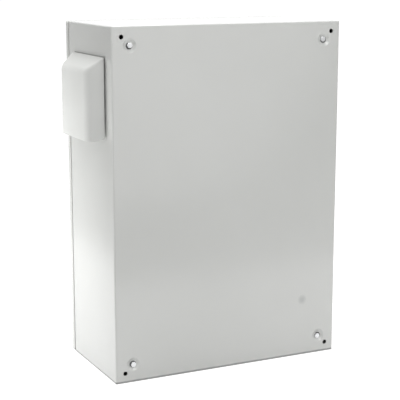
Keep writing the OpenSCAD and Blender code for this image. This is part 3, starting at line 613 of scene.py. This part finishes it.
# round post inside the hood, cut along the rounded ridge
def makePost():
    bpy.ops.mesh.primitive_cylinder_add(vertices=hoodPost["sides"], radius=hoodPost["radius"],
                                        depth=hoodPost["long"], location=(0, 0, hoodPost["middle"]))
    post = bpy.context.active_object
    bpy.ops.object.transform_apply(location=True)
    pick(post, "faces", facesDown)
    bpy.ops.mesh.inset(thickness=hoodPost["rim"])
    extrude(0, 0, hoodPost["bore"])
    ridge = hood["ridge"]
    angle = math.atan2(hood["face"] - hood["base"], hood["lean"])
    middle = hood["halfWidth"] - hood["lean"] - ridge * math.tan(angle / 2) - hoodPost["at"][0]
    tilt = math.asin(-middle / ridge)
    out = Vector((math.sin(tilt), 0, math.cos(tilt)))
    insideWall = Vector((middle, 0, hood["face"] - ridge)) + out * (ridge - hood["wall"] / 2)
    cutAcross(insideWall, out, clear_outer=True)
    leaveEdit()
    return post


# spring clip that hooks under the base flange
def makeClip():
    thick, foot = hoodClip["thick"], hoodClip["foot"]
    bpy.ops.mesh.primitive_cube_add(size=1, location=(thick / 2, 0, hoodClip["footAt"]),
                                    scale=(thick, hoodClip["wide"], foot))
    clip = bpy.context.active_object
    bpy.ops.object.transform_apply(location=True, scale=True)
    pick(clip, "faces", facesUp)
    extrude(0, 0, hoodClip["rise"])
    leaveEdit()
    pick(clip, "faces", lambda c, n: n.x < -0.9 and c.z < foot)
    extrude(-hoodClip["hook"], 0, 0)
    bpy.ops.transform.resize(value=(1, hoodClip["hookTaper"], 1))
    leaveEdit()
    bevelSharp(clip, hoodClip["edge"], hoodClip["edgeAngle"])
    return clip


def makeVentHood():
    parts = [makeHoodShell()]
    for maker, (x, y) in ((makePost, hoodPost["at"]), (makeClip, hoodClip["at"])):
        model = maker()
        for turn, side in ((0, 1), (math.pi, -1)):
            for up in (1, -1):
                parts.append(copyTo(model, (side * x, up * y, 0), (0, 0, turn)))
        bpy.data.objects.remove(model)
    piece = joinPieces("ventHood", parts)
    cleanMesh(piece, touch)
    placePiece(piece, ventPlace["at"], ventPlace["turn"])
    dress(piece, "vent_hood", smooth=hood["smooth"])


makeVentHood()
print("hood made")

# filter mat in the collar of the vent, a needled pad with a slightly uneven face
mat = {
    "side": 0.1180, "back": -0.018, "thick": 0.010, "round": 0.0015, "roundSteps": 3,
    "cuts": 38, "uneven": 0.0012, "lump": 0.009, "smooth": 60,
}


def makeFilterMat():
    bpy.ops.mesh.primitive_cube_add(size=1, location=(0, 0, mat["back"] + mat["thick"] / 2),
                                    scale=(mat["side"], mat["side"], mat["thick"]))
    pad = bpy.context.active_object
    pad.name = pad.data.name = "filterMat"
    bpy.ops.object.transform_apply(location=True, scale=True)
    pick(pad, "edges", lambda a, b: abs(a.z - b.z) < touch)
    bpy.ops.mesh.bevel(offset=mat["round"], segments=mat["roundSteps"], affect="EDGES")
    leaveEdit()
    enterEdit("edges")
    bpy.ops.mesh.subdivide(number_cuts=mat["cuts"])
    leaveEdit()
    lumps = bpy.data.textures.new("matLumps", "CLOUDS")
    lumps.noise_scale = mat["lump"]
    applyModifier(pad, "DISPLACE", texture=lumps, texture_coords="LOCAL",
                  strength=mat["uneven"], mid_level=1.0)
    placePiece(pad, ventPlace["at"], ventPlace["turn"])
    dress(pad, "vent_filter", smooth=mat["smooth"], flatFaces=False)


makeFilterMat()
print("filter mat made")

# foamed seal in the door: a flat bead with rounded shoulders, laid in one loop
# a loop is its width, its height and the radius of its corners
bead = {
    "outer": (0.4715, 0.6715, 0.012), "inner": (0.4435, 0.6435, 0.004), "cornerSteps": 8,
    "back": -0.2485, "thick": 0.0042, "shoulder": 0.0026, "shoulderSteps": 5,
    "offLoop": 2e-4, "smooth": 50,
}


def roundedLoop(wide, high, radius):
    bpy.ops.mesh.primitive_plane_add(size=1, rotation=(math.pi / 2, 0, 0))
    loop = bpy.context.active_object
    loop.scale = (wide, high, 1)
    bpy.ops.object.transform_apply(location=True, rotation=True, scale=True)
    enterEdit("points")
    bpy.ops.mesh.bevel(offset=radius, segments=bead["cornerSteps"], affect="VERTICES")
    bpy.ops.mesh.select_all(action="SELECT")
    bpy.ops.mesh.delete(type="ONLY_FACE")
    leaveEdit()
    return loop


# the loop that a point of the bead lies on, if any
def loopOf(point):
    for name in ("outer", "inner"):
        wide, high, radius = bead[name]
        across, up = abs(point.x) - wide / 2, abs(point.z) - high / 2
        off = max(across, up)
        if across > -radius and up > -radius:
            off = math.hypot(across + radius, up + radius) - radius
        if max(across, up) < touch and abs(off) < bead["offLoop"]:
            return name
    return None


def makeDoorSeal():
    ring = joinPieces("doorSeal", [roundedLoop(*bead["outer"]), roundedLoop(*bead["inner"])])
    enterEdit("edges")
    bpy.ops.mesh.bridge_edge_loops()
    bpy.ops.mesh.select_all(action="SELECT")
    extrude(0, bead["thick"], 0)
    bpy.ops.mesh.select_all(action="SELECT")
    bpy.ops.transform.translate(value=(0, bead["back"], 0))
    bpy.ops.mesh.normals_make_consistent(inside=False)
    leaveEdit()
    front = bead["back"] + bead["thick"]

    # both long edges of the face that meets the lip
    def onShoulder(a, b):
        return min(a.y, b.y) > front - touch and loopOf(a) is not None and loopOf(a) == loopOf(b)

    pick(ring, "edges", onShoulder)
    bpy.ops.mesh.bevel(offset=bead["shoulder"], segments=bead["shoulderSteps"], affect="EDGES")
    leaveEdit()
    mergeDoubles(ring)
    dress(ring, "door_seal", smooth=bead["smooth"])


makeDoorSeal()
print("door seal made")

# fasteners, drawn with Z along their axis and then turned
upright, upsideDown, alongX = (0, 0, 0), (math.pi, 0, 0), (0, math.pi / 2, 0)
intoBox, outOfBox = (math.pi / 2, 0, 0), (-math.pi / 2, 0, 0)

# shares of the pitch, and how much of the rod's width is left at its end
thread = {
    "depth": 0.56, "flank": 0.38, "land": 0.12, "start": -1.5137, "lead": 0.8, "weld": 0.02,
    "steps": 18, "spareTurns": 3, "endShare": 0.84, "lowEnd": 1e-6,
}
pitchOf = {4: 0.0007, 5: 0.0008, 6: 0.0010, 8: 0.00125}


# threaded rod from z = 0 up: one tooth drawn point by point, wound up and cut to length
def windThread(diameter, length):
    pitch = pitchOf[round(diameter * 1000)]
    depth, flank, land, start, lead, weld = (
        pitch * thread[key] for key in ("depth", "flank", "land", "start", "lead", "weld"))
    tooth = [(depth, 0, flank), (0, 0, land), (-depth, 0, flank), (0, 0, land)]
    rod = drawLine((diameter / 2 - depth, 0, start), tooth)
    leaveEdit()
    turns = math.ceil(length / pitch) + thread["spareTurns"]
    applyModifier(rod, "SCREW", axis="Z", screw_offset=pitch, iterations=turns,
                  steps=thread["steps"], render_steps=thread["steps"])
    mergeDoubles(rod, weld)
    enterEdit("points")
    cutAcross((0, 0, 0), (0, 0, 1), clear_inner=True)
    cutAcross((0, 0, length - lead), (0, 0, 1), clear_outer=True)
    leaveEdit()
    pick(rod, "faces", lambda c, n: facesUp(c, n) and c.z > length - lead - touch)
    extrude(0, 0, lead)
    shrink(thread["endShare"], (0, 0, length))
    leaveEdit()
    mergeDoubles(rod, hair)
    # a lower end that looks up shows a rod turned inside out
    lowEnd = [face for face in rod.data.polygons if face.center.z < thread["lowEnd"]]
    if any(facesUp(face.center, face.normal) for face in lowEnd):
        enterEdit("points")
        bpy.ops.mesh.flip_normals()
        leaveEdit()
    return rod


# turned blank from z = 0 up, with slanted ends
def turnBlank(radius, height, slant, topShare, lowShare=None, sides=48):
    low = slant if lowShare else 0
    straight = height - slant - low
    bpy.ops.mesh.primitive_cylinder_add(vertices=sides, radius=radius, depth=straight,
                                        location=(0, 0, low + straight / 2))
    blank = bpy.context.active_object
    bpy.ops.object.transform_apply(location=True)
    pick(blank, "faces", facesUp)
    extrude(0, 0, slant)
    shrink(topShare, (0, 0, height))
    leaveEdit()
    if lowShare:
        pick(blank, "faces", facesDown)
        extrude(0, 0, -slant)
        shrink(lowShare, (0, 0, 0))
        leaveEdit()
    return blank


# chamfer and end circle as shares of the width across flats
hexagon = {"endRadius": 0.475, "chamfer": 0.058, "blankOver": 1.002, "spare": 0.002}


# hexagon from z = 0 up, its corners taken off by a turned blank
def cutHexagon(flats, height, bothEnds=False):
    corner = flats / math.sqrt(3)
    share = hexagon["endRadius"] * flats / corner
    blank = turnBlank(corner * hexagon["blankOver"], height, hexagon["chamfer"] * flats,
                      share, share if bothEnds else None)
    bpy.ops.mesh.primitive_cylinder_add(vertices=6, radius=corner, depth=height + hexagon["spare"],
                                        location=(0, 0, height / 2), rotation=(0, 0, math.pi / 6))
    sixSides = bpy.context.active_object
    bpy.ops.object.transform_apply(location=True, rotation=True)
    cutWith(blank, sixSides, "INTERSECT")
    return blank


nutBore = {"sides": 40, "flare": 0.0004, "spare": 0.001}


# bore through a nut, flared at both ends
def boreThrough(nut, radius, height):
    flare = nutBore["flare"]
    bpy.ops.mesh.primitive_cylinder_add(vertices=nutBore["sides"], radius=radius,
                                        depth=height - 2 * flare, location=(0, 0, height / 2))
    tool = bpy.context.active_object
    bpy.ops.object.transform_apply(location=True)
    for side, test in ((1, facesUp), (-1, facesDown)):
        pick(tool, "faces", test)
        for step, share in ((flare, (radius + flare) / radius), (nutBore["spare"], 1)):
            extrude(0, 0, side * step)
            bpy.ops.transform.resize(value=(share, share, 1))
        leaveEdit()
    cutWith(nut, tool, "DIFFERENCE")
    return nut


def makeNut(flats, height, bore):
    return boreThrough(cutHexagon(flats, height, bothEnds=True), bore / 2, height)


# thickness and slant of the flange as shares of the nut's height
nutFlange = {"thick": 0.27, "slant": 0.12, "topShare": 0.86}


def makeFlangeNut(flats, height, bore, flange):
    nut = cutHexagon(flats, height)
    disc = turnBlank(flange / 2, height * nutFlange["thick"], height * nutFlange["slant"],
                     nutFlange["topShare"])
    cutWith(nut, disc, "UNION")
    return boreThrough(nut, bore / 2, height)


# shares of the head's height and, for the cross, of its width
panHead = {
    "sides": 40, "slant": 0.45, "topShare": 0.80, "round": 0.16, "roundSteps": 3,
    "shankInside": 0.0004,
    "crossWide": 0.56, "crossDeep": 1.1, "crossAt": 0.95, "crossArm": 0.30, "crossTaper": 0.5,
}


# cross recess for a screw head, tapering to its bottom
def crossTool(wide, deep):
    arm = wide * panHead["crossArm"]
    bpy.ops.mesh.primitive_cube_add(size=1, scale=(arm, arm, deep))
    tool = bpy.context.active_object
    bpy.ops.object.transform_apply(scale=True)
    pick(tool, "faces", lambda c, n: abs(n.z) < 0.1)
    bpy.ops.mesh.extrude_faces_move(TRANSFORM_OT_shrink_fatten={"value": (wide - arm) / 2})
    leaveEdit()
    pick(tool, "points", lambda p: p.z < 0)
    shrink(panHead["crossTaper"], (0, 0, 0))
    leaveEdit()
    return tool


# pan-head screw, its head from z = 0 up and its thread below
def makePanScrew(diameter, headWide, headHigh, length):
    head = turnBlank(headWide / 2, headHigh, headHigh * panHead["slant"], panHead["topShare"],
                     sides=panHead["sides"])

    # the two rings of the slanted top
    def onRing(a, b):
        level, high = abs(a.z - b.z) < touch, min(a.z, b.z) > headHigh / 2
        return level and high and math.hypot(a.x, a.y) > headWide * 0.3

    pick(head, "edges", onRing)
    bpy.ops.mesh.bevel(offset=headHigh * panHead["round"], segments=panHead["roundSteps"],
                       affect="EDGES")
    leaveEdit()
    tool = crossTool(headWide * panHead["crossWide"], headHigh * panHead["crossDeep"])
    placePiece(tool, (0, 0, headHigh * panHead["crossAt"]), upright)
    cutWith(head, tool, "DIFFERENCE")
    shank = windThread(diameter, length)
    placePiece(shank, (0, 0, panHead["shankInside"]), upsideDown)
    return joinPieces("panScrew", [head, shank])


# hexagon screw, its thread from z = 0 up and its head below
def makeHexScrew(diameter, flats, headHigh, length):
    head = cutHexagon(flats, headHigh)
    placePiece(head, (0, 0, 0), upsideDown)
    return joinPieces("hexScrew", [head, windThread(diameter, length)])


plateFix = {
    "x": 0.2121, "z": 0.3139, "headBack": -0.0025, "nutBack": -0.0205,
    "bolt": {"diameter": 0.006, "flats": 0.010, "headHigh": 0.002, "length": 0.025},
    "nut": {"flats": 0.010, "height": 0.005, "bore": 0.0063, "flange": 0.014},
}


def plateCorners(y):
    return [(i * plateFix["x"], y, j * plateFix["z"]) for i in (-1, 1) for j in (-1, 1)]


def makePlateFixings():
    bolt = makeHexScrew(**plateFix["bolt"])
    dressCopies("plate_bolts", bolt, plateCorners(plateFix["headBack"]), intoBox)
    nut = makeFlangeNut(**plateFix["nut"])
    dressCopies("plate_nuts", nut, plateCorners(plateFix["nutBack"]), intoBox)


glandFix = {
    "x": (-0.140, 0.0, 0.140), "y": (-0.178, -0.055), "studLow": -0.3485, "nutLow": -0.3445,
    "stud": {"diameter": 0.005, "length": 0.010},
    "nut": {"flats": 0.008, "height": 0.004, "bore": 0.0053},
}


def glandPoints(z):
    return [(x, y, z) for x in glandFix["x"] for y in glandFix["y"]]


def makeGlandFixings():
    stud = windThread(**glandFix["stud"])
    dressCopies("gland_studs", stud, glandPoints(glandFix["studLow"]), upright)
    nut = makeNut(**glandFix["nut"])
    dressCopies("gland_nuts", nut, glandPoints(glandFix["nutLow"]), upright)


earthFix = {
    "body": (-0.188, -0.203, -0.3485), "door": (-0.188, -0.2485, -0.290), "nutsAt": (0.0, 0.0085),
    "stud": {"diameter": 0.008, "length": 0.024},
    "nut": {"flats": 0.013, "height": 0.0065, "bore": 0.0083},
}


def makeEarthFixings():
    for name, foot, turn, along in (
        ("earth", Vector(earthFix["body"]), upright, Vector((0, 0, 1))),
        ("door_earth", Vector(earthFix["door"]), outOfBox, Vector((0, 1, 0))),
    ):
        dressCopies(name + "_stud", windThread(**earthFix["stud"]), [foot], turn)
        places = [foot + along * up for up in earthFix["nutsAt"]]
        dressCopies(name + "_nuts", makeNut(**earthFix["nut"]), places, turn)


hingeFix = {
    "x": -0.228, "y": -0.2386, "z": (0.260, 0.200, -0.200, -0.260),
    "screw": {"diameter": 0.004, "headWide": 0.007, "headHigh": 0.0022, "length": 0.0047},
}
ventFix = {
    "apart": 0.069, "headOut": 0.004, "nutOut": -0.0047,
    "screw": {"diameter": 0.004, "headWide": 0.008, "headHigh": 0.0024, "length": 0.0134},
    "nut": {"flats": 0.007, "height": 0.0032, "bore": 0.0043},
}


def ventPoints(out):
    x, y, z = ventPlace["at"]
    apart = ventFix["apart"]
    return [(x + out, y + i * apart, z + j * apart) for i in (-1, 1) for j in (-1, 1)]


def makeSmallScrews():
    places = [(hingeFix["x"], hingeFix["y"], z) for z in hingeFix["z"]]
    dressCopies("hinge_screws", makePanScrew(**hingeFix["screw"]), places, alongX)
    screw = makePanScrew(**ventFix["screw"])
    dressCopies("vent_screws", screw, ventPoints(ventFix["headOut"]), ventPlace["turn"])
    nut = makeNut(**ventFix["nut"])
    dressCopies("vent_nuts", nut, ventPoints(ventFix["nutOut"]), ventPlace["turn"])


lockFix = {
    "x": 0.202, "z": {"upper": 0.200, "lower": -0.200}, "nutAt": -0.2435, "camScrewAt": -0.227,
    "nut": {"flats": 0.027, "height": 0.005, "bore": 0.0223}, "nutTurn": math.pi / 6,
    "washer": {
        "radius": 0.0065, "height": 0.0012, "slant": 0.0003, "topShare": 0.95, "lowShare": 0.95,
    },
    "head": {"flats": 0.008, "height": 0.0035},
    "shank": {"diameter": 0.005, "length": 0.0112}, "shankInside": 0.0002,
}


def makeLockFixings():
    for name, z in lockFix["z"].items():
        nut = makeNut(**lockFix["nut"])
        placePiece(nut, (0, 0, 0), (0, 0, lockFix["nutTurn"]))
        dressCopies("lock_nut_" + name, nut, [(lockFix["x"], lockFix["nutAt"], z)], intoBox)
        washer = turnBlank(**lockFix["washer"])
        head = cutHexagon(**lockFix["head"])
        placePiece(head, (0, 0, lockFix["washer"]["height"]), upright)
        shank = windThread(**lockFix["shank"])
        placePiece(shank, (0, 0, lockFix["shankInside"]), upsideDown)
        screw = joinPieces("camScrew", [washer, head, shank])
        place = (lockFix["x"], lockFix["camScrewAt"], z)
        dressCopies("cam_screw_" + name, screw, [place], outOfBox)


makePlateFixings()
makeGlandFixings()
makeEarthFixings()
makeSmallScrews()
makeLockFixings()
print("fasteners made")

# pressed, cut and cast pieces keep the frame's shape, with their edges broken by these widths
brokenEdges = {
    "plate_spacers": 0.0004, "mounting_plate": 0.0004, "gland_plate": 0.0004, "bolt_seals": 0.0002,
    "hinge_bracket_upper": 0.0003, "hinge_bracket_lower": 0.0003,
    "hinge_leaf_upper": 0.0003, "hinge_leaf_lower": 0.0003,
    "hinge_pin_upper": 0.0004, "hinge_pin_lower": 0.0004,
    "lock_housing_upper": 0.0007, "lock_housing_lower": 0.0007,
    "lock_core_upper": 0.0003, "lock_core_lower": 0.0003,
    "lock_cam_upper": 0.0005, "lock_cam_lower": 0.0005,
    "door_rail_left": 0.0005, "door_rail_right": 0.0005,
    "vent_base": 0.0003, "vent_filter_frame": 0.0003,
}
breaking = {"merge": 2e-6, "flatAngle": 0.6, "edgeAngle": 40}


def breakEdges(node, width):
    piece = bpy.data.objects.new(pieceName(node), nodes[node].data.copy())
    bpy.context.collection.objects.link(piece)
    only(piece)
    bpy.ops.mesh.customdata_custom_splitnormals_clear()
    enterEdit("faces")
    bpy.ops.mesh.remove_doubles(threshold=breaking["merge"])
    bpy.ops.mesh.dissolve_limited(angle_limit=math.radians(breaking["flatAngle"]))
    leaveEdit()
    bevelSharp(piece, width, breaking["edgeAngle"])
    dress(piece, node)


for node, width in brokenEdges.items():
    breakEdges(node, width)
print("edges broken:", len(brokenEdges))

# floor and light
studio = {
    "floorZ": -0.3502, "floorSide": 60.0, "floorColour": (0.82, 0.82, 0.82),
    "shownColour": (0.38, 0.38, 0.38), "glow": 0.88, "world": 0.45, "aim": (0, -0.12, 0),
}
mirrorFloor = {
    "sheetAt": (-0.48, -0.85), "sheetHalf": (1.12, 1.55), "sheetSoft": 0.06, "near": 1.0, "far": 0.03,
    "behind": (1.45, 1.95), "behindGain": 0.97, "slant": 0.667, "slantEdge": (-0.10, 0.40),
}


# rays of the camera and of reflections, which see the white background
def lookingRays(tree):
    path = tree.nodes.new("ShaderNodeLightPath").outputs
    seen = addMath(tree, "MAXIMUM", path["Is Camera Ray"], path["Is Glossy Ray"])
    return addMath(tree, "MAXIMUM", seen, path["Is Transmission Ray"])


def addDiffuse(tree, colour):
    plain = tree.nodes.new("ShaderNodeBsdfDiffuse")
    plain.inputs["Color"].default_value = (*colour, 1)
    return plain.outputs[0]


# the floor that the camera sees, white with the object's shadow
def addShownFloor(tree):
    glow = tree.nodes.new("ShaderNodeEmission")
    glow.inputs["Strength"].default_value = studio["glow"]
    both = tree.nodes.new("ShaderNodeAddShader")
    tree.links.new(addDiffuse(tree, studio["shownColour"]), both.inputs[0])
    tree.links.new(glow.outputs[0], both.inputs[1])
    return both.outputs[0]


# the floor that reflections see: lit round the object, dark beyond it and lit again far behind
def addMirroredFloor(tree):
    x, y, z = addParts(tree, tree.nodes.new("ShaderNodeTexCoord").outputs["Object"])
    reach = []
    for place, middle, half in zip((x, y), mirrorFloor["sheetAt"], mirrorFloor["sheetHalf"]):
        offset = addMath(tree, "ABSOLUTE", addMath(tree, "SUBTRACT", place, middle))
        reach.append(addMath(tree, "DIVIDE", offset, half))
    away = addMath(tree, "MAXIMUM", *reach)
    soft = mirrorFloor["sheetSoft"]
    sheet = addRange(tree, away, 1 - soft, 1 + soft, mirrorFloor["near"], mirrorFloor["far"])
    behind = addRange(tree, y, *mirrorFloor["behind"], 0.0, mirrorFloor["behindGain"])
    slanted = addMath(tree, "MULTIPLY_ADD", y, mirrorFloor["slant"], x)
    inside = addRange(tree, slanted, *mirrorFloor["slantEdge"], 0.0, 1.0)
    glow = tree.nodes.new("ShaderNodeEmission")
    tree.links.new(addMath(tree, "MULTIPLY_ADD", behind, inside, sheet), glow.inputs["Strength"])
    return glow.outputs[0]


def makeFloor():
    bpy.ops.mesh.primitive_plane_add(size=studio["floorSide"], location=(0, 0, studio["floorZ"]))
    floor = bpy.context.active_object
    floor.name = "studioFloor"
    bpy.ops.object.transform_apply(location=True, rotation=False, scale=False)
    finish = bpy.data.materials.new("studioFloor")
    finish.use_nodes = True
    tree = finish.node_tree
    tree.nodes.remove(tree.nodes["Principled BSDF"])
    plain = addDiffuse(tree, studio["floorColour"])
    shown = addSwap(tree, lookingRays(tree), plain, addShownFloor(tree))
    glossy = tree.nodes.new("ShaderNodeLightPath").outputs["Is Glossy Ray"]
    surface = addSwap(tree, glossy, shown, addMirroredFloor(tree))
    tree.links.new(surface, tree.nodes["Material Output"].inputs["Surface"])
    floor.data.materials.append(finish)


def makeWorld():
    world = bpy.data.worlds.new("studioWorld")
    bpy.context.scene.world = world
    world.use_nodes = True
    tree = world.node_tree
    soft, white = tree.nodes["Background"], tree.nodes.new("ShaderNodeBackground")
    soft.inputs["Strength"].default_value = studio["world"]
    for light in (soft, white):
        light.inputs["Color"].default_value = (1, 1, 1, 1)
    surface = addSwap(tree, lookingRays(tree), soft.outputs[0], white.outputs[0])
    tree.links.new(surface, tree.nodes["World Output"].inputs["Surface"])


# the two small lamps only fill, and show in no gloss
lamps = {
    "backSoft": {"at": (0.10, 1.90, 1.70), "side": 1.6, "watts": 22.0, "mirrored": True},
    "overFront": {"at": (-0.10, -0.50, 2.50), "side": 1.4, "watts": 49.0, "mirrored": True},
    "lowSide": {"at": (0.70, -0.36, -0.02), "side": 0.3, "watts": 2.75, "mirrored": False},
    "lowBack": {"at": (-0.75, 0.40, -0.19), "side": 0.3, "watts": 0.55, "mirrored": False},
}


def makeLamps():
    for name, lamp in lamps.items():
        bpy.ops.object.light_add(type="AREA", location=lamp["at"])
        light = bpy.context.active_object
        light.name = name
        light.data.shape = "DISK"
        light.data.size = lamp["side"]
        light.data.energy = lamp["watts"]
        light.visible_glossy = lamp["mirrored"]
        light.rotation_euler = facing(Vector(studio["aim"]) - light.location)


makeFloor()
makeWorld()
makeLamps()
bpy.context.scene.view_settings.view_transform = "Standard"
print("studio ready")
